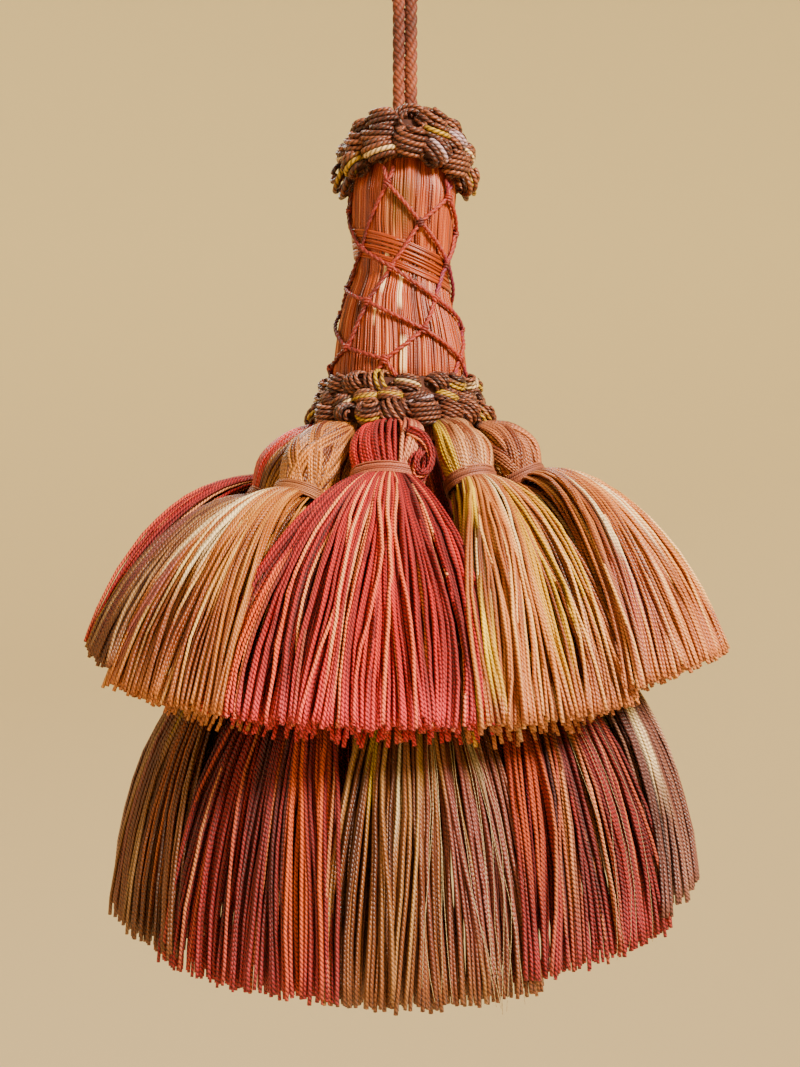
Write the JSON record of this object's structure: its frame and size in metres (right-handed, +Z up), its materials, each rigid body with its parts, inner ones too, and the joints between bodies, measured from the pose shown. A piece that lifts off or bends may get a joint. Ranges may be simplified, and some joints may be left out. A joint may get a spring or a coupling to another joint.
{
  "type": "tassel",
  "caption": "Two-tier hanging tassel: a thread-wound waisted neck under a net, between knotted collars, with skirts of small bound tassels.",
  "frame": {"origin": "inside top of the hanging loop, on the tassel's own axis", "axes": "+Z up along the tassel, -Y towards the front shown in the picture, +X to its right"},
  "size_m": [0.0963, 0.0933, 0.1514],
  "materials": {
    "cord": "matte",
    "neck": "matte",
    "net": "matte",
    "collar": "matte",
    "crimson": "matte",
    "brown": "matte",
    "tan": "matte",
    "mauve": "matte"
  },
  "bodies": {
    "root": {"hanging_cord": "cord", "neck": "neck", "neck_net": "net", "upper_collar": "collar", "lower_collar": "collar", "upper_tassel_0": "crimson", "upper_binding_0": "crimson", "upper_tassel_1": "brown", "upper_binding_1": "brown", "upper_tassel_2": "brown", "upper_binding_2": "brown", "upper_tassel_3": "mauve", "upper_binding_3": "mauve", "upper_tassel_4": "crimson", "upper_binding_4": "crimson", "upper_tassel_5": "brown", "upper_binding_5": "brown", "upper_tassel_6": "tan", "upper_binding_6": "tan", "upper_tassel_7": "crimson", "upper_binding_7": "crimson", "upper_tassel_8": "brown", "upper_binding_8": "brown", "upper_tassel_9": "tan", "upper_binding_9": "tan", "lower_tassel_0": "brown", "lower_binding_0": "brown", "lower_tassel_1": "crimson", "lower_binding_1": "crimson", "lower_tassel_2": "mauve", "lower_binding_2": "mauve", "lower_tassel_3": "brown", "lower_binding_3": "brown", "lower_tassel_4": "crimson", "lower_binding_4": "crimson", "lower_tassel_5": "tan", "lower_binding_5": "tan", "lower_tassel_6": "crimson", "lower_binding_6": "crimson", "lower_tassel_7": "mauve", "lower_binding_7": "mauve", "lower_tassel_8": "brown", "lower_binding_8": "brown", "lower_tassel_9": "crimson", "lower_binding_9": "crimson"}
  },
  "joints": []
}
